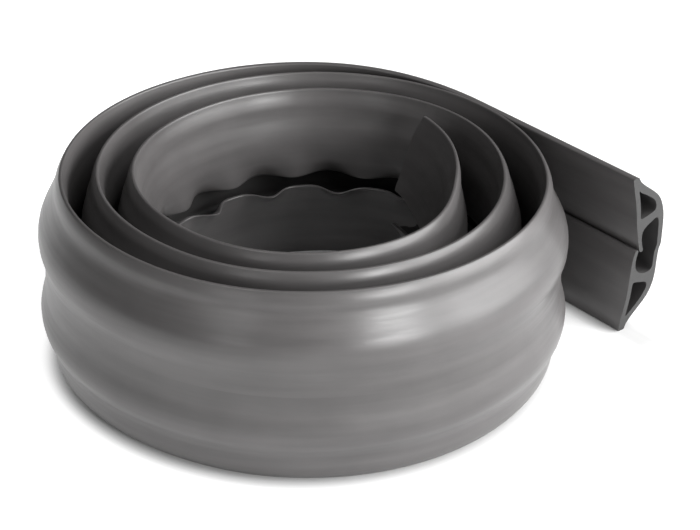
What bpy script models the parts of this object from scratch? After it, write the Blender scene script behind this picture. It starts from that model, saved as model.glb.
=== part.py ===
"""Flexible three-channel cable cover, one extruded length wound on edge into a loose coil.

Metres in the scene, millimetres in the formulas. +Z runs across the channel, from the edge it
stands on to the other edge. +X runs along the straight outer tail, towards its cut end.
"""
import math

import bmesh
import bpy
from mathutils import Vector
from mathutils.geometry import tessellate_polygon

for old in list(bpy.data.objects):
    bpy.data.objects.remove(old)

MM = 0.001
WIDTH = 83.0
MIDDLE = WIDTH / 2.0
TAIL = 94.0
TAIL_LEAN = 12.0
COIL_LEAN = 1.0
BULGE_LEAN = 2.5
TAIL_SKEW = 11.0
TAIL_DISH = 6.0
RIM_MID = 2.0

# Radius of the rim's middle line at every eighth of a turn, from the tail inwards.
RIM_RADIUS = [100.4, 105.2, 103.0, 98.3, 95.2, 97.7, 100.2, 99.9, 97.0, 94.1,
              89.4, 83.6, 80.5, 83.2, 85.3, 82.6, 82.5, 76.9, 71.7, 68.7,
              66.2, 69.1, 69.5, 62.0, 68.4]
EIGHTH = 45.0
LAST_TURN = 1084.0
LAST_SLOPE = 10.0

# Places along the coil, in degrees from the tail's foot: the start of a change and its length.
CURLS = (985.0, 85.0)
END_SQUASHES = (1030.0, 45.0)
END_FLARES = (1062.0, 22.0)
FLAPS_PART = (722.0, 22.0)
COILED = 120.0
UPRIGHT = 90.0

# The same for a change that comes and goes: its middle and its half length.
BULGED = (165.0, 50.0)
SQUASHED = (356.0, 60.0)
PRESSED = (697.0, 55.0)

# The waves along the two lips: a crest and the pitch, in degrees.
UPPER_WAVES = (824.5, 24.7)
LOWER_WAVES = (813.0, 27.0)

# Facets: their length in degrees on the outer turns and on the inner one.
OUTER_STEP = 12.0
INNER_STEP = 6.0
INNER_FROM = 690.0


def smooth(x):
    """Ease from 0 to 1 while x goes from 0 to 1."""
    x = min(1.0, max(0.0, x))
    return x * x * (3.0 - 2.0 * x)


def hump(x, middle, half):
    """A smooth bump of height 1 round the middle."""
    return smooth(1.0 - abs(x - middle) / half)


def ramp(turn, span):
    """Ease from 0 to 1 over a span of the coil, given as its start and length."""
    return smooth((turn - span[0]) / span[1])


def wave(turn, waves):
    """Height, from -1 to 1, of a row of waves given as a crest and a pitch."""
    return math.cos(math.radians((turn - waves[0]) / waves[1] * 360.0))


def along(points, x):
    """Straight-line reading of a short list of (position, value) points."""
    if x <= points[0][0]:
        return points[0][1]
    for (x0, y0), (x1, y1) in zip(points, points[1:]):
        if x <= x1:
            return y0 + (y1 - y0) * (x - x0) / (x1 - x0)
    return points[-1][1]


def rim_radius(turn):
    """Radius of the rim at an angle in degrees, measured from the tail's foot."""
    k = min(int(turn // EIGHTH), len(RIM_RADIUS) - 2)
    t = turn / EIGHTH - k
    r1 = RIM_RADIUS[k]
    r2 = RIM_RADIUS[k + 1]
    if k == 0:
        m1 = 0.0
    else:
        m1 = (r2 - RIM_RADIUS[k - 1]) / 2.0
    if k + 2 < len(RIM_RADIUS):
        m2 = (RIM_RADIUS[k + 2] - r1) / 2.0
    else:
        m2 = LAST_SLOPE
    return (r1 * (1 + 2 * t) * (1 - t) ** 2 + m1 * t * (1 - t) ** 2
            + r2 * t * t * (3 - 2 * t) + m2 * t * t * (t - 1))


def rim_point(turn):
    """Plan position of the rim's middle line. Negative turn runs out along the tail, in mm."""
    if turn < 0.0:
        return Vector((-turn, RIM_RADIUS[0], 0.0))
    a = math.radians(turn)
    r = rim_radius(turn)
    return Vector((-r * math.sin(a), r * math.cos(a), 0.0))


def rim_direction(turn):
    """Unit direction of travel, from the tail's end inwards along the coil."""
    if turn < 0.0:
        return Vector((-1.0, 0.0, 0.0))
    step = rim_point(min(turn + 0.5, LAST_TURN)) - rim_point(max(turn - 0.5, 0.0))
    return step.normalized()


# The section. d is the distance from the nearer edge, w the height over the flat base.
DOME = [(0.0, 3.8), (6.6, 7.9), (13.0, 11.9), (19.5, 13.8), (26.0, 14.3), (41.5, 14.4)]
DOME_COIL = [(0.0, 3.8), (6.6, 6.9), (13.0, 9.0), (20.0, 12.1), (26.0, 12.7), (34.0, 10.9), (41.5, 10.4)]
BASE_COIL = [(0.0, 0.0), (13.0, -0.2), (26.0, -0.7), (34.0, -2.1), (41.5, -3.0)]
CURL = [(0.0, -1.5), (13.0, 2.0), (23.0, 5.0), (34.0, 6.2), (43.0, 6.4)]
ROOT = 25.0

# How far the lips of the two base flaps move, in mm: inwards, outwards and along the height.
FLAP_THICKNESS = 3.5
UPPER_TAIL_OUT = 3.6
UPPER_IN = 3.6
UPPER_WAVE = 2.6
UPPER_RISE = 4.0
UPPER_END_SINK = 3.0
UPPER_END_RISE = 6.6
LOWER_IN = 4.3
LOWER_WAVE = 3.9
LOWER_END_IN = 2.0
LOWER_DROP = 4.4
LOWER_END_DROP = 5.2

# How far the section is pressed flatter, in mm, and the share of its base's dish pressed out.
SIDE_SQUASH = 3.2
END_SQUASH = 1.2
SQUASH_REACH = 14.0
PRESSED_SHARE = 0.85

# One half of the section, from the middle of the roof round the edge to the lip and back
# along the inside of the centre channel.
HALF = [(34.0, 14.4), (26.0, 14.3), (19.5, 13.8), (13.0, 11.9), (6.6, 7.9), (0.0, 3.4), (0.0, 0.9),
        (1.0, 0.0), (13.0, 0.0), (25.0, 0.0), (31.5, 0.0), (37.0, 0.0)]
HALF_INSIDE = [(37.0, 2.3), (32.0, 3.4), (28.0, 6.4), (26.6, 10.0), (29.0, 11.7)]
SIDE_CHANNEL = [(7.5, 3.3), (16.0, 9.4), (21.2, 10.4), (23.0, 2.6)]
UPPER_LIP = 41.8
LOWER_LIP = 42.8


def section_loops():
    """Loops of (side, d, w): side +1 for the upper half and -1 for the lower one."""
    outline = [(1, 41.5, 14.4)]
    outline += [(1, d, w) for d, w in HALF]
    outline += [(1, UPPER_LIP, 0.2), (1, UPPER_LIP, 2.1)]
    outline += [(1, d, w) for d, w in HALF_INSIDE]
    outline += [(1, 41.5, 11.8)]
    outline += [(-1, d, w) for d, w in reversed(HALF_INSIDE)]
    outline += [(-1, LOWER_LIP, 2.1), (-1, LOWER_LIP, 0.2)]
    outline += [(-1, d, w) for d, w in reversed(HALF)]
    upper = [(1, d, w) for d, w in SIDE_CHANNEL]
    lower = [(-1, d, w) for d, w in reversed(SIDE_CHANNEL)]
    return [outline, upper, lower]


def place(turn, side, d, w):
    """Height and outward offset of one point of the section at one place along the length."""
    coil = smooth(turn / COILED)
    inwards = 1.0 - abs(d - MIDDLE) / MIDDLE
    dd = min(d, WIDTH - d)
    base_tail = TAIL_DISH * inwards * (2.0 - inwards)
    base_coil = along(BASE_COIL, dd) * (1.0 - PRESSED_SHARE * hump(turn, *PRESSED))
    crown_tail = base_tail + along(DOME, dd)
    squash = END_SQUASH * ramp(turn, END_SQUASHES) + SIDE_SQUASH * hump(turn, *SQUASHED)
    crown_coil = along(DOME_COIL, dd) - squash * smooth(dd / SQUASH_REACH)
    base = base_tail + (base_coil - base_tail) * coil
    crown = crown_tail + (crown_coil - crown_tail) * coil
    out = base + w / along(DOME, dd) * (crown - base)
    z = d if side < 0 else WIDTH - d
    # The inner end curls towards the middle of the coil.
    curl = ramp(turn, CURLS)
    out -= curl * along(CURL, d)
    # The flaps of the base hinge at the webs and part at the slit.
    if d > ROOT and w < FLAP_THICKNESS:
        lip = LOWER_LIP if side < 0 else UPPER_LIP
        bend = ((d - ROOT) / (lip - ROOT)) ** 1.5
        free = ramp(turn, FLAPS_PART) * (1.0 - curl)
        if side > 0:
            swing = free * (UPPER_IN + UPPER_WAVE * wave(turn, UPPER_WAVES))
            rise = coil * (UPPER_RISE - UPPER_END_SINK * curl) + UPPER_END_RISE * ramp(turn, END_FLARES)
            out += bend * ((1.0 - coil) * UPPER_TAIL_OUT - swing)
            z += bend * rise
        else:
            swing = free * (LOWER_IN + LOWER_WAVE * wave(turn, LOWER_WAVES))
            out -= bend * (swing + LOWER_END_IN * curl)
            z -= bend * coil * (LOWER_DROP + LOWER_END_DROP * curl)
    straight = 1.0 - smooth(turn / UPRIGHT)
    lean = COIL_LEAN + (TAIL_LEAN - COIL_LEAN) * straight + BULGE_LEAN * hump(turn, *BULGED)
    return z, out - RIM_MID + lean * (1.0 - z / WIDTH)


def stations():
    """Places along the length: the tail in mm as negative numbers, then the coil in degrees."""
    places = [-TAIL, -62.0, -30.0]
    places += [OUTER_STEP * k for k in range(int(INNER_FROM // OUTER_STEP) + 1)]
    inner_count = int((LAST_TURN - INNER_FROM) // INNER_STEP) + 1
    places += [INNER_FROM + INNER_STEP * k for k in range(inner_count)]
    places += [LAST_TURN]
    return places


def ring(turn, loop):
    """World positions of one loop of the section at one place along the length."""
    middle = rim_point(turn)
    travel = rim_direction(turn)
    outward = Vector((travel.y, -travel.x, 0.0))
    skew = TAIL_SKEW * max(0.0, -turn) / TAIL
    points = []
    for side, d, w in loop:
        z, out = place(turn, side, d, w)
        p = middle + outward * out + travel * (skew * (1.0 - z / WIDTH))
        points.append(Vector((p.x, p.y, z)))
    return points


def soft_vinyl():
    """Satin grey soft vinyl."""
    material = bpy.data.materials.new("soft_grey_vinyl")
    material.use_nodes = True
    shader = material.node_tree.nodes["Principled BSDF"]
    shader.inputs["Base Color"].default_value = (0.077, 0.076, 0.075, 1.0)
    shader.inputs["Roughness"].default_value = 0.4
    shader.inputs["Metallic"].default_value = 0.0
    return material


def build():
    """One closed mesh: the section swept along the tail and the coil, with both ends capped."""
    loops = section_loops()
    rows = [[ring(turn, loop) for loop in loops] for turn in stations()]
    xs = [p.x for row in rows for loop in row for p in loop]
    ys = [p.y for row in rows for loop in row for p in loop]
    shift = Vector(((min(xs) + max(xs)) / 2.0, (min(ys) + max(ys)) / 2.0, 0.0))
    bm = bmesh.new()
    grid = [[[bm.verts.new((p - shift) * MM) for p in loop] for loop in row] for row in rows]
    for row, after in zip(grid, grid[1:]):
        for loop, nxt in zip(row, after):
            count = len(loop)
            for i in range(count):
                j = (i + 1) % count
                bm.faces.new((loop[i], loop[j], nxt[j]))
                bm.faces.new((loop[i], nxt[j], nxt[i]))
    for row, turn in ((grid[0], -TAIL), (grid[-1], LAST_TURN)):
        verts = [v for loop in row for v in loop]
        flat = []
        for loop in loops:
            spots = [place(turn, *point) for point in loop]
            flat.append([Vector((out, z, 0.0)) for z, out in spots])
        for a, b, c in tessellate_polygon(flat):
            bm.faces.new((verts[a], verts[b], verts[c]))
    bmesh.ops.recalc_face_normals(bm, faces=bm.faces)
    mesh = bpy.data.meshes.new("cable_channel")
    bm.to_mesh(mesh)
    bm.free()
    mesh.materials.append(soft_vinyl())
    channel = bpy.data.objects.new("cable_channel", mesh)
    parts = bpy.data.collections.new("flexible_cable_channel")
    bpy.context.scene.collection.children.link(parts)
    parts.objects.link(channel)
    return channel


build()
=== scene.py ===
"""Flexible three-channel cable cover, wound on edge into a loose coil: the finished look.

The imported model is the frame. Lengths in the formulas are millimetres; +Z runs across the
channel and +X along the straight tail, as in the frame.
"""
import math

import bmesh
import bpy
import numpy as np
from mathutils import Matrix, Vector
from mathutils.kdtree import KDTree
from mathutils.geometry import tessellate_polygon


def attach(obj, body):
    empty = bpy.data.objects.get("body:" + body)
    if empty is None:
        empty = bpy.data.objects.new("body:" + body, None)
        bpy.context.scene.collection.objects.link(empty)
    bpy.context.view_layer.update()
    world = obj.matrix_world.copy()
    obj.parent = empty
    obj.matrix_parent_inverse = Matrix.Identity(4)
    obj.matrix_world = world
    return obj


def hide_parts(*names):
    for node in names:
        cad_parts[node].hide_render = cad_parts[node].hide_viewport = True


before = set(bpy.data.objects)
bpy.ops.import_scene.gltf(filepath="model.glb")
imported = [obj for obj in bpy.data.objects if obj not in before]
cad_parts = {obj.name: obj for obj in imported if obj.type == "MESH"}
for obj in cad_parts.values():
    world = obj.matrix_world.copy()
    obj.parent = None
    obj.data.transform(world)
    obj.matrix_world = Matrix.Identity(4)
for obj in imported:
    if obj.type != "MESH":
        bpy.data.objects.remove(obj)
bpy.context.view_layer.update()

# Sizes of the part
MM = 0.001
WIDTH = 83.0
MIDDLE = 41.5
TAIL = 94.0
TAIL_LEAN = 12.0
COIL_LEAN = 1.0
BULGE_LEAN = 2.5
TAIL_SKEW = 12.6
TAIL_BASE_SET = 1.1
END_BULGE = 3.3
RIM_MID = 2.0
EIGHTH = 45.0
LAST_TURN = 1084.0
LAST_SLOPE = 10.0
BOX_SHIFT = (-2.36, 9.086)

# Places along the coil, in degrees from the tail's foot: the start of a change and its length
COILS = (0.0, 120.0)
STANDS_UP = (0.0, 90.0)
TILTS = (340.0, 110.0)
FLAPS_PART = (722.0, 22.0)
CURLS = (985.0, 85.0)
END_SQUASHES = (1030.0, 45.0)
END_BULGES = (1060.0, 24.0)
END_FLARES = (1062.0, 22.0)

# The same for a change that comes and goes: its middle and its half length
BULGED = (165.0, 50.0)
SQUASHED = (356.0, 60.0)
PRESSED = (697.0, 55.0)

# The waves along the two lips: a crest and the pitch, in degrees
UPPER_WAVES = (824.5, 24.7)
LOWER_WAVES = (813.0, 27.0)

# How much the turns are pressed flatter where they nest
PRESSED_SHARE = 0.85
END_SQUASH = 1.2
SIDE_SQUASH = 3.2
SQUASH_EDGE = 14.0

# How far the flaps move at the lip, and the powers that fade it towards their roots
BEND_FADE = 1.5
UPPER_WAVE_FADE = 1.8
LOWER_WAVE_FADE = 2.6
UPPER_TAIL_SET = 2.6
UPPER_PART = 2.6
UPPER_WAVE_DEPTH = 3.2
UPPER_RISE = 1.8
UPPER_CURL_SINK = 0.6
UPPER_END_RISE = 6.4
LOWER_WAVE_DEPTH = 8.2
LOWER_CURL_PART = 2.0
LOWER_DROP = 4.4
LOWER_CURL_DROP = 5.2

# Stations along the length: the tail's last one is in mm, the coil's are in degrees
TAIL_STATIONS = 16
TAIL_STOP = -6.0
OUTER_STEP = 2.4
INNER_FROM = 690.0
INNER_STATIONS = 264
DIRECTION_STEP = 0.4

# Radius of the rim's middle line at every eighth of a turn, from the tail inwards
RIM_RADIUS = [100.4, 105.2, 103.0, 98.3, 95.2, 97.7, 100.2, 99.9, 97.0, 94.1,
              89.4, 83.6, 80.5, 83.2, 85.3, 82.6, 82.5, 76.9, 71.7, 68.7,
              66.2, 69.1, 69.5, 62.0, 68.4]


def smooth(x):
    """Ease from 0 to 1 while x goes from 0 to 1."""
    x = np.clip(x, 0.0, 1.0)
    return x * x * (3.0 - 2.0 * x)


def hump(x, middle, half):
    """A smooth bump of height 1 round the middle."""
    return smooth(1.0 - np.abs(x - middle) / half)


def ramp(x, span):
    """Ease from 0 to 1 over a span, given as its start and length."""
    return smooth((x - span[0]) / span[1])


def waves(turn, row):
    """Height, from -1 to 1, of a row of waves given as a crest and a pitch."""
    return np.cos(np.radians((turn - row[0]) / row[1] * 360.0))


def curve(points, x):
    """Smooth reading of a short list of (position, value) points."""
    xs = [p[0] for p in points]
    ys = [p[1] for p in points]
    slope = []
    for i in range(len(points)):
        lo = max(i - 1, 0)
        hi = min(i + 1, len(points) - 1)
        slope.append((ys[hi] - ys[lo]) / (xs[hi] - xs[lo]))
    x = min(max(x, xs[0]), xs[-1])
    k = 0
    while k < len(xs) - 2 and x > xs[k + 1]:
        k += 1
    h = xs[k + 1] - xs[k]
    t = (x - xs[k]) / h
    return (ys[k] * (1 + 2 * t) * (1 - t) ** 2 + slope[k] * h * t * (1 - t) ** 2
            + ys[k + 1] * t * t * (3 - 2 * t) + slope[k + 1] * h * t * t * (t - 1))


# The coil in plan
def rim_radius(turn):
    """Radius of the rim at angles in degrees, measured from the tail's foot."""
    radii = np.array(RIM_RADIUS)
    slopes = np.gradient(radii)
    slopes[0] = 0.0
    slopes[-1] = LAST_SLOPE
    k = np.clip((turn // EIGHTH).astype(int), 0, len(radii) - 2)
    t = turn / EIGHTH - k
    return (radii[k] * (1 + 2 * t) * (1 - t) ** 2 + slopes[k] * t * (1 - t) ** 2
            + radii[k + 1] * t * t * (3 - 2 * t) + slopes[k + 1] * t * t * (t - 1))


def rim_points(turn):
    """Plan positions of the rim's middle line. A negative turn is a distance out along the tail."""
    angle = np.radians(np.maximum(turn, 0.0))
    radius = rim_radius(np.maximum(turn, 0.0))
    x = -radius * np.sin(angle) + np.maximum(-turn, 0.0)
    y = radius * np.cos(angle)
    return np.stack([x, y], axis=1)


def rim_directions(turn):
    """Unit directions of travel, from the tail's end inwards along the coil."""
    ahead = np.minimum(turn + DIRECTION_STEP, LAST_TURN)
    step = rim_points(ahead) - rim_points(turn - DIRECTION_STEP)
    return step / np.linalg.norm(step, axis=1)[:, None]


# The section: d is the distance from the nearer edge and w the height over the flat base
DOME = [(0.0, 3.6), (2.0, 3.9), (4.0, 4.9), (7.0, 6.9), (10.0, 9.3), (13.0, 11.8), (16.0, 13.3),
        (20.0, 14.4), (25.0, 15.0), (32.0, 14.9), (MIDDLE, 14.6)]
CROWN_COIL_UPPER = [(0.0, 3.4), (2.0, 4.4), (4.0, 5.2), (7.5, 6.0), (11.0, 7.6), (15.0, 9.5),
                    (18.5, 11.3), (22.0, 12.5), (27.0, 12.7), (31.0, 11.7), (34.5, 10.7),
                    (MIDDLE, 10.4)]
CROWN_COIL_LOWER = [(0.0, 3.4), (2.0, 5.4), (5.0, 7.4), (9.0, 8.3), (13.0, 8.6), (15.5, 9.6),
                    (20.0, 12.0), (25.0, 12.9), (29.0, 12.2), (34.0, 10.9), (MIDDLE, 10.4)]
BASE_TAIL_UPPER = [(0.0, 0.0), (6.3, 1.4), (13.0, 3.0), (21.0, 4.4), (30.0, 5.4), (43.5, 6.0)]
BASE_TAIL_LOWER = [(0.0, 0.0), (5.0, 0.4), (9.4, 1.3), (14.6, 2.5), (20.0, 3.3), (27.0, 3.8),
                   (32.0, 4.1), (38.0, 4.7), (43.5, 6.0)]
BASE_COIL = [(0.0, 0.0), (13.0, -0.2), (26.0, -0.7), (34.0, -2.1), (43.5, -3.1)]
TILT = [(0.0, 0.0), (6.0, 0.1), (11.0, 0.3), (20.0, 2.2), (28.0, 2.6), (43.5, 2.6)]
CURL = [(0.0, -1.5), (13.0, 2.2), (23.0, 5.1), (34.0, 6.3), (43.5, 6.4)]
ROOT = 25.0
UPPER_LIP = 41.8
LOWER_LIP = 42.8

# Heights over which a move of the base, or of a flap, fades out: the start and the length
BASE_FADES = (3.0, 6.0)
FLAP_FADES = (2.4, 3.0)

CROWN_STOPS = [41.5, 38.5, 35.5, 33.0, 30.5, 28.0, 25.5, 23.0, 20.5, 18.0, 16.0, 14.0, 12.0, 10.0,
               8.2, 6.4, 4.8, 3.4, 2.2]
EDGE = [(1.1, 3.66), (0.45, 3.52), (0.1, 3.2), (0.0, 2.7), (0.0, 1.2), (0.08, 0.5), (0.35, 0.1),
        (0.9, 0.0)]
RIM_THINNER = 2.0
RIM_DEPTH = 8.0
BASE_STOPS = [3.0, 5.5, 8.5, 11.5, 14.5, 17.5, 20.5, 23.0, 25.5, 28.0, 30.5, 32.5, 34.5, 36.5, 38.2,
              39.6]
LIP_ROUND = [(-0.8, 0.05), (-0.25, 0.3), (0.0, 0.8), (0.0, 1.35), (-0.3, 1.85), (-1.1, 2.1)]
ROOF = 12.1
INSIDE_UPPER = [(39.0, 2.0), (37.0, 2.0), (35.0, 2.1), (33.0, 2.4), (31.2, 3.1), (29.7, 4.2),
                (28.2, 5.9), (27.0, 8.0), (26.0, 9.8), (26.0, 11.0), (26.8, 11.8), (28.4, 12.1),
                (30.5, 12.2), (33.5, 12.2), (37.5, ROOF)]
INSIDE_LOWER = [(39.0, 2.0), (37.0, 2.1), (35.0, 2.3), (33.0, 2.8), (31.2, 3.7), (29.7, 5.0),
                (28.5, 6.8), (28.0, 8.4), (28.0, 10.0), (28.3, 11.2), (29.0, 12.0), (30.2, 12.5),
                (32.0, 12.5), (34.5, 12.4), (37.5, 12.2)]
SIDE_UPPER = [(7.4, 3.0), (8.6, 3.6), (11.5, 6.4), (15.0, 9.5), (16.6, 10.3), (18.6, 10.7),
              (20.2, 10.6), (21.4, 9.9), (22.2, 8.4), (23.0, 5.4), (23.5, 3.2), (23.2, 2.5),
              (22.4, 2.3), (17.0, 2.5), (11.5, 2.6), (8.2, 2.5)]
SIDE_LOWER = [(7.2, 3.2), (8.2, 4.0), (11.5, 6.6), (15.0, 8.9), (18.0, 10.4), (19.6, 10.8),
              (21.2, 10.6), (22.3, 9.9), (23.0, 8.6), (24.2, 5.6), (25.0, 3.6), (24.8, 2.8),
              (24.0, 2.5), (17.0, 2.5), (11.5, 2.6), (8.0, 2.6)]


def half_outline(lip, inside):
    """Half the outline, from the middle of the roof round the edge and lip to the roof's underside."""
    points = [(d, curve(DOME, d)) for d in CROWN_STOPS]
    points += EDGE
    points += [(d, 0.0) for d in BASE_STOPS]
    points += [(lip + d, w) for d, w in LIP_ROUND]
    points += inside
    return points


def section_loops():
    """Closed loops of (side, d, w): side +1 for the upper half, -1 for the lower one."""
    upper = [(1, d, w) for d, w in half_outline(UPPER_LIP, INSIDE_UPPER)]
    lower = [(-1, d, w) for d, w in half_outline(LOWER_LIP, INSIDE_LOWER)]
    outline = upper + [(1, MIDDLE, ROOF)] + lower[:0:-1]
    return [outline,
            [(1, d, w) for d, w in SIDE_UPPER],
            [(-1, d, w) for d, w in reversed(SIDE_LOWER)]]


def inner_flags():
    """For each loop, 1 at the points inside a channel and 0 at those of the outside; the material
    darkens the inside ones with painted shade.
    """
    shown = len(CROWN_STOPS) + len(EDGE) + len(BASE_STOPS) + len(LIP_ROUND)
    upper = [0.0] * shown + [1.0] * len(INSIDE_UPPER)
    lower = [0.0] * shown + [1.0] * len(INSIDE_LOWER)
    return [upper + [1.0] + lower[:0:-1], [1.0] * len(SIDE_UPPER), [1.0] * len(SIDE_LOWER)]


def lean_at(turn):
    """How far the section's foot stands outside its top edge."""
    return (COIL_LEAN + (TAIL_LEAN - COIL_LEAN) * (1.0 - ramp(turn, STANDS_UP))
            + BULGE_LEAN * hump(turn, *BULGED))


def place(turn, side, d, w):
    """Height and outward offset of one point of the section at many places along the length."""
    coil = ramp(turn, COILS)
    dd = min(d, WIDTH - d)
    if side > 0:
        base_tail = curve(BASE_TAIL_UPPER, d)
        crown_coil = curve(CROWN_COIL_UPPER, dd)
    else:
        base_tail = curve(BASE_TAIL_LOWER, d)
        crown_coil = curve(CROWN_COIL_LOWER, dd)
    pressed = PRESSED_SHARE * hump(turn, *PRESSED)
    base_coil = curve(BASE_COIL, d) * (1.0 - pressed)
    crown_tail = base_tail + curve(DOME, dd)
    squash = END_SQUASH * ramp(turn, END_SQUASHES) + SIDE_SQUASH * hump(turn, *SQUASHED)
    crown_coil = crown_coil - squash * smooth(dd / SQUASH_EDGE)
    share = w / curve(DOME, dd)
    thinner = RIM_THINNER * (1.0 - smooth(dd / RIM_DEPTH))
    base = base_tail + (base_coil + thinner - base_tail) * coil
    crown = crown_tail + (crown_coil - crown_tail) * coil
    out = base + share * (crown - base)
    out = out - TAIL_BASE_SET * (1.0 - coil) * (1.0 - ramp(w, BASE_FADES))
    z = np.full_like(turn, d if side < 0 else WIDTH - d)
    # The inner turns lean in a little at mid-height, and the inner end does so most.
    curl = ramp(turn, CURLS)
    tilt = ramp(turn, TILTS) * (1.0 - curl)
    out = out - tilt * curve(TILT, d) - curl * curve(CURL, d)
    if d > ROOT:
        # The flaps of the base hinge at the webs, part at the slit and buckle on the inner turn.
        free = ramp(turn, FLAPS_PART)
        lip = LOWER_LIP if side < 0 else UPPER_LIP
        reach = (d - ROOT) / (lip - ROOT)
        thin = 1.0 - ramp(w, FLAP_FADES)
        bend = reach ** BEND_FADE * thin
        ripple = reach ** (UPPER_WAVE_FADE if side > 0 else LOWER_WAVE_FADE) * thin
        if side > 0:
            wave = waves(turn, UPPER_WAVES) * (1.0 - curl)
            part = (1.0 - coil) * UPPER_TAIL_SET + free * UPPER_PART * (1.0 - curl)
            rise = coil * (UPPER_RISE - UPPER_CURL_SINK * curl)
            rise = rise + UPPER_END_RISE * ramp(turn, END_FLARES)
            out = out + bend * part - ripple * free * UPPER_WAVE_DEPTH * wave
            z = z + bend * rise
        else:
            crest = ((1.0 + waves(turn, LOWER_WAVES)) / 2.0) ** 2 * (1.0 - curl)
            out = out - ripple * free * LOWER_WAVE_DEPTH * crest - bend * LOWER_CURL_PART * curl
            z = z - bend * coil * (LOWER_DROP + LOWER_CURL_DROP * curl)
    return z, out - RIM_MID + lean_at(turn) * (1.0 - z / WIDTH)


def stations():
    """Places along the length: the tail in mm as negative numbers, then the coil in degrees."""
    tail = np.linspace(-TAIL, TAIL_STOP, TAIL_STATIONS)
    outer = np.arange(0.0, INNER_FROM, OUTER_STEP)
    inner = np.linspace(INNER_FROM, LAST_TURN, INNER_STATIONS)
    return np.concatenate([tail, outer, inner])


def length_along(turn):
    """Distance from the tail's end at each place, in mm."""
    fine = np.concatenate([np.linspace(-TAIL, 0.0, 20), np.arange(1.0, LAST_TURN + 1.0)])
    points = rim_points(fine)
    steps = np.linalg.norm(np.diff(points, axis=0), axis=1)
    return np.interp(turn, fine, np.concatenate([[0.0], np.cumsum(steps)]))


def sweep():
    """The whole channel as one closed mesh, with a UV map in metres along and round it."""
    turn = stations()
    middle = rim_points(turn)
    travel = rim_directions(turn)
    outward = np.stack([travel[:, 1], -travel[:, 0]], axis=1)
    skew = TAIL_SKEW * np.maximum(0.0, -turn) / TAIL
    along = length_along(turn)
    verts = []
    faces = []
    uvs = []
    caps = [[], []]
    flats = [[], []]
    start = 0
    for loop in section_loops():
        count = len(loop)
        rows = np.empty((len(turn), count, 3))
        for i, (side, d, w) in enumerate(loop):
            z, out = place(turn, side, d, w)
            bulge = END_BULGE * ramp(turn, END_BULGES) * (1.0 - (z / MIDDLE - 1.0) ** 2)
            ahead = skew * (1.0 - z / WIDTH) + bulge
            plan = middle + outward * out[:, None] + travel * ahead[:, None]
            rows[:, i, 0] = plan[:, 0] - BOX_SHIFT[0]
            rows[:, i, 1] = plan[:, 1] - BOX_SHIFT[1]
            rows[:, i, 2] = z
            for end, k in ((0, 0), (1, -1)):
                flats[end].append((out[k], z[k]))
        verts.append(rows.reshape(-1, 3) * MM)
        gaps = [math.hypot(b[1] - a[1], b[2] - a[2]) for a, b in zip(loop, loop[1:])]
        round_it = np.concatenate([[0.0], np.cumsum(gaps)])
        closing = round_it[-1] + 1.0
        for j in range(len(turn) - 1):
            for i in range(count):
                n = (i + 1) % count
                a = start + j * count
                b = a + count
                faces.append((a + i, b + i, b + n, a + n))
                far = round_it[n] if n else closing
                uvs += [(along[j], round_it[i]), (along[j + 1], round_it[i]),
                        (along[j + 1], far), (along[j], far)]
        caps[0] += list(range(start, start + count))
        caps[1] += list(range(start + (len(turn) - 1) * count, start + len(turn) * count))
        start += len(turn) * count
    counts = [len(loop) for loop in section_loops()]
    cap_faces = []
    for end in (0, 1):
        split = np.cumsum([0] + counts)
        flat = [[Vector((*point, 0.0)) for point in flats[end][split[k]:split[k + 1]]]
                for k in range(len(counts))]
        for tri in tessellate_polygon(flat):
            cap_faces.append(tuple(caps[end][i] for i in tri))
            uvs += [flats[end][i] for i in tri]
    mesh = bpy.data.meshes.new("channel_skin")
    mesh.from_pydata(np.concatenate(verts).tolist(), [], faces + cap_faces)
    # The inside of the channels, which the material darkens with painted shade and makes matt.
    inner = mesh.attributes.new("inner", "FLOAT", "POINT")
    shares = [np.tile(flags, len(turn)) for flags in inner_flags()]
    inner.data.foreach_set("value", np.concatenate(shares))
    layer = mesh.uv_layers.new(name="UVMap")
    layer.data.foreach_set("uv", (np.array(uvs) * MM).ravel())
    mesh.polygons.foreach_set("use_smooth", [True] * len(faces) + [False] * len(cap_faces))
    return mesh, len(faces)


def make_channel():
    """The visible channel, with crisp cut ends and a material of their own."""
    mesh, side_count = sweep()
    channel = bpy.data.objects.new("channel_skin", mesh)
    bpy.context.scene.collection.objects.link(channel)
    bm = bmesh.new()
    bm.from_mesh(mesh)
    bmesh.ops.recalc_face_normals(bm, faces=bm.faces)
    bm.faces.ensure_lookup_table()
    for face in bm.faces:
        face.material_index = 0 if face.index < side_count else 1
    for edge in bm.edges:
        linked = edge.link_faces
        if len(linked) == 2 and linked[0].material_index != linked[1].material_index:
            edge.smooth = False
    bm.to_mesh(mesh)
    bm.free()
    mesh.materials.append(skin_material())
    mesh.materials.append(cut_material())
    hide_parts("cable_channel")
    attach(channel, "root")


# Materials
def new_material(name):
    """A new material, its node tree and its shader."""
    material = bpy.data.materials.new(name)
    material.use_nodes = True
    tree = material.node_tree
    return material, tree, tree.nodes["Principled BSDF"]


def noise_on(tree, coordinates, stretch, scale, detail):
    """A noise texture on coordinates stretched by three factors."""
    mapping = tree.nodes.new("ShaderNodeMapping")
    mapping.inputs["Scale"].default_value = stretch
    tree.links.new(coordinates, mapping.inputs["Vector"])
    noise = tree.nodes.new("ShaderNodeTexNoise")
    noise.inputs["Scale"].default_value = scale
    noise.inputs["Detail"].default_value = detail
    tree.links.new(mapping.outputs["Vector"], noise.inputs["Vector"])
    return noise.outputs["Fac"]


def ramp_on(tree, factor, low, high, dark, light):
    """Map a factor between two stops to a value or colour."""
    node = tree.nodes.new("ShaderNodeValToRGB")
    node.color_ramp.elements[0].position = low
    node.color_ramp.elements[0].color = dark
    node.color_ramp.elements[1].position = high
    node.color_ramp.elements[1].color = light
    tree.links.new(factor, node.inputs["Fac"])
    return node.outputs["Color"]


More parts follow.
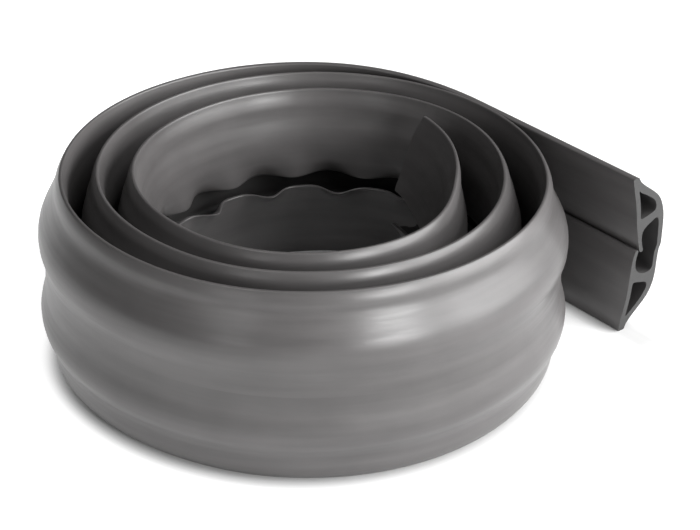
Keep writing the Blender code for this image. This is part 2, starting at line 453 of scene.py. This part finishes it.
def bump_on(tree, height, strength, distance, normal=None):
    """A bump node on a height, chained after another one if given."""
    bump = tree.nodes.new("ShaderNodeBump")
    bump.inputs["Strength"].default_value = strength
    bump.inputs["Distance"].default_value = distance
    tree.links.new(height, bump.inputs["Height"])
    if normal:
        tree.links.new(normal, bump.inputs["Normal"])
    return bump.outputs["Normal"]


def mix_on(tree, blend, factor, first, second):
    """Mix a colour with a fixed one by a factor that varies over the surface."""
    mix = tree.nodes.new("ShaderNodeMix")
    mix.data_type = "RGBA"
    mix.blend_type = blend
    tree.links.new(factor, mix.inputs["Factor"])
    tree.links.new(first, mix.inputs["A"])
    mix.inputs["B"].default_value = second
    return mix.outputs["Result"]


def grey(value, warm=0.0):
    """A grey, redder by a small share."""
    return (value * (1.0 + warm), value, value, 1.0)


def skin_material():
    """Satin soft vinyl: grey, with faint streaks along the extrusion and a mottle; inside the channels
    it is matt and darkened with painted shade.
    """
    material, tree, shader = new_material("soft_grey_vinyl")
    uv = tree.nodes.new("ShaderNodeUVMap")
    uv.uv_map = "UVMap"
    place_in = tree.nodes.new("ShaderNodeTexCoord")
    streaks = noise_on(tree, uv.outputs["UV"], (45.0, 600.0, 1.0), 1.0, 3.0)
    bands = noise_on(tree, uv.outputs["UV"], (12.0, 150.0, 1.0), 1.0, 4.0)
    mottle = noise_on(tree, place_in.outputs["Object"], (1.0, 1.0, 1.0), 38.0, 5.0)
    tint = ramp_on(tree, bands, 0.3, 0.7, grey(0.062, 0.05), grey(0.084, 0.05))
    shade = ramp_on(tree, mottle, 0.3, 0.75, grey(0.88), grey(1.08))
    mix = tree.nodes.new("ShaderNodeMix")
    mix.data_type = "RGBA"
    mix.blend_type = "MULTIPLY"
    mix.inputs["Factor"].default_value = 1.0
    tree.links.new(tint, mix.inputs["A"])
    tree.links.new(shade, mix.inputs["B"])
    inner = tree.nodes.new("ShaderNodeAttribute")
    inner.attribute_name = "inner"
    # Painted shade: the colour inside the channels is darkened to 0.4, where little light gets in.
    painted_inside_shade = mix_on(tree, "MULTIPLY", inner.outputs["Fac"], mix.outputs["Result"], grey(0.4))
    tree.links.new(painted_inside_shade, shader.inputs["Base Color"])
    rough = ramp_on(tree, streaks, 0.25, 0.8, grey(0.3), grey(0.4))
    matt = mix_on(tree, "MIX", inner.outputs["Fac"], rough, grey(0.75))
    tree.links.new(matt, shader.inputs["Roughness"])
    shader.inputs["Specular IOR Level"].default_value = 0.5
    drawn = bump_on(tree, streaks, 0.07, 0.0002)
    ribbed = bump_on(tree, bands, 0.05, 0.0006, drawn)
    soft = bump_on(tree, mottle, 0.2, 0.0007, ribbed)
    tree.links.new(soft, shader.inputs["Normal"])
    return material


def cut_material():
    """The cut end: darker and matt, with the fine marks of a knife."""
    material, tree, shader = new_material("cut_vinyl")
    place_in = tree.nodes.new("ShaderNodeTexCoord")
    marks = noise_on(tree, place_in.outputs["Object"], (300.0, 300.0, 1800.0), 1.0, 3.0)
    tint = ramp_on(tree, marks, 0.3, 0.7, grey(0.026, 0.01), grey(0.033, 0.01))
    tree.links.new(tint, shader.inputs["Base Color"])
    shader.inputs["Roughness"].default_value = 0.6
    tree.links.new(bump_on(tree, marks, 0.2, 0.0002), shader.inputs["Normal"])
    return material


# Stage, lights and camera, in metres and degrees
CAMERA_TURN = 50.5
CAMERA_TILT = 30.03
CAMERA_AT = (0.5776, -0.4574, 0.4586)
CAMERA_LENS = 102.86
FLOOR_REACH = [0.7, 2.0, 6.0]
FINE_REACH = 0.18
FINE_STEP = 0.002
OUTER_TURN_END = 366.0
FOOT_STEP = 0.4

# The floor's glow, and the lengths over which it grows: from the foot, and towards the shaded side
GLOW = 0.92
GLOW_AT_FOOT = 0.06
GLOW_IN_LIGHT = 0.62
FOOT_GROWS = (0.0005, 0.01)
SHADE_GROWS = (-0.03, 0.12)
SHADE_SIDE = -90.0


def around(azimuth, elevation, distance):
    """A point at an azimuth measured from the photo's camera, to its right, and an elevation."""
    a = math.radians(CAMERA_TURN + azimuth)
    e = math.radians(elevation)
    return Vector((math.sin(a) * math.cos(e), -math.cos(a) * math.cos(e), math.sin(e))) * distance


def make_floor():
    """A pale floor that glows softly, so that it stays white.

    It glows more where the coil shades it from the lights, and hardly at all close to the foot.
    """
    near = np.arange(-FINE_REACH, FINE_REACH + 0.0001, FINE_STEP)
    lines = np.concatenate([[-far for far in reversed(FLOOR_REACH)], near, FLOOR_REACH])
    count = len(lines)
    x, y = np.meshgrid(lines, lines, indexing="ij")
    verts = np.stack([x.ravel(), y.ravel(), np.zeros(count * count)], axis=1)
    faces = [(i * count + j, (i + 1) * count + j, (i + 1) * count + j + 1, i * count + j + 1)
             for i in range(count - 1) for j in range(count - 1)]
    turn = np.arange(-TAIL, OUTER_TURN_END, FOOT_STEP)
    travel = rim_directions(turn)
    outward = np.stack([travel[:, 1], -travel[:, 0]], axis=1)
    feet = [rim_points(turn) + outward * (side + lean_at(turn))[:, None]
            for side in (-RIM_MID, RIM_MID)]
    foot = (np.concatenate(feet) - BOX_SHIFT) * MM
    tree_of_feet = KDTree(len(foot))
    for i, (fx, fy) in enumerate(foot):
        tree_of_feet.insert((fx, fy, 0.0), i)
    tree_of_feet.balance()
    away = np.array([tree_of_feet.find(v)[2] for v in verts])
    centred = verts[:, :2] / MM + BOX_SHIFT
    around_it = np.degrees(np.arctan2(-centred[:, 0], centred[:, 1])) % 360.0
    away[np.linalg.norm(centred, axis=1) < rim_radius(around_it)] = 0.0
    mesh = bpy.data.meshes.new("floor")
    mesh.from_pydata(verts.tolist(), [], faces)
    glow = mesh.attributes.new("glow", "FLOAT", "POINT")
    shaded = verts @ np.array(around(SHADE_SIDE, 0.0, 1.0))
    share = GLOW_IN_LIGHT + (1.0 - GLOW_IN_LIGHT) * ramp(shaded, SHADE_GROWS)
    clear = GLOW_AT_FOOT + (1.0 - GLOW_AT_FOOT) * ramp(away, FOOT_GROWS)
    glow.data.foreach_set("value", clear * share)
    floor = bpy.data.objects.new("floor", mesh)
    bpy.context.scene.collection.objects.link(floor)
    material, tree, shader = new_material("pale_floor")
    shader.inputs["Base Color"].default_value = (0.55, 0.55, 0.55, 1.0)
    shader.inputs["Roughness"].default_value = 0.9
    shader.inputs["Specular IOR Level"].default_value = 0.0
    attribute = tree.nodes.new("ShaderNodeAttribute")
    attribute.attribute_name = "glow"
    tint = ramp_on(tree, attribute.outputs["Fac"], 0.0, 1.0, grey(0.0), grey(GLOW))
    tree.links.new(tint, shader.inputs["Emission Color"])
    shader.inputs["Emission Strength"].default_value = 1.0
    mesh.materials.append(material)


def soft_box(name, azimuth, elevation, distance, width, height, power):
    """A rectangular studio light that looks at the object's middle."""
    light = bpy.data.lights.new(name, "AREA")
    light.shape = "RECTANGLE"
    light.size = width
    light.size_y = height
    light.energy = power
    lamp = bpy.data.objects.new(name, light)
    lamp.location = around(azimuth, elevation, distance) + Vector((0.0, 0.0, 0.04))
    lamp.rotation_mode = "QUATERNION"
    lamp.rotation_quaternion = (-around(azimuth, elevation, 1.0)).to_track_quat("-Z", "Y")
    bpy.context.scene.collection.objects.link(lamp)


def make_light():
    """Plain soft studio light."""
    world = bpy.data.worlds.new("studio")
    bpy.context.scene.world = world
    world.use_nodes = True
    world.node_tree.nodes["Background"].inputs["Color"].default_value = (1.0, 1.0, 1.0, 1.0)
    world.node_tree.nodes["Background"].inputs["Strength"].default_value = 0.06
    soft_box("light_right", 84.0, 24.0, 1.5, 1.3, 1.1, 34.0)
    soft_box("light_side", 55.0, 25.0, 1.6, 0.9, 0.8, 11.0)
    soft_box("light_front", 34.0, 16.0, 1.5, 0.44, 0.3, 12.5)
    soft_box("light_left", -30.0, 15.0, 1.5, 0.36, 0.25, 1.4)
    soft_box("light_high", 34.0, 50.0, 1.4, 0.36, 0.5, 1.0)
    soft_box("light_inner", 80.0, 62.0, 1.4, 0.6, 0.6, 9.0)
    soft_box("light_fill", -50.0, 60.0, 1.4, 0.5, 0.5, 2.2)
    soft_box("light_low", 70.0, 6.0, 1.5, 1.2, 0.3, 1.1)


def make_camera():
    """The photograph's viewing angle."""
    data = bpy.data.cameras.new("camera")
    data.lens = CAMERA_LENS
    data.sensor_width = 36.0
    camera = bpy.data.objects.new("camera", data)
    camera.location = CAMERA_AT
    camera.rotation_mode = "QUATERNION"
    camera.rotation_quaternion = (-around(0.0, CAMERA_TILT, 1.0)).to_track_quat("-Z", "Y")
    bpy.context.scene.collection.objects.link(camera)
    bpy.context.scene.camera = camera


make_channel()
make_floor()
make_light()
make_camera()
bpy.context.scene.view_settings.view_transform = "Standard"
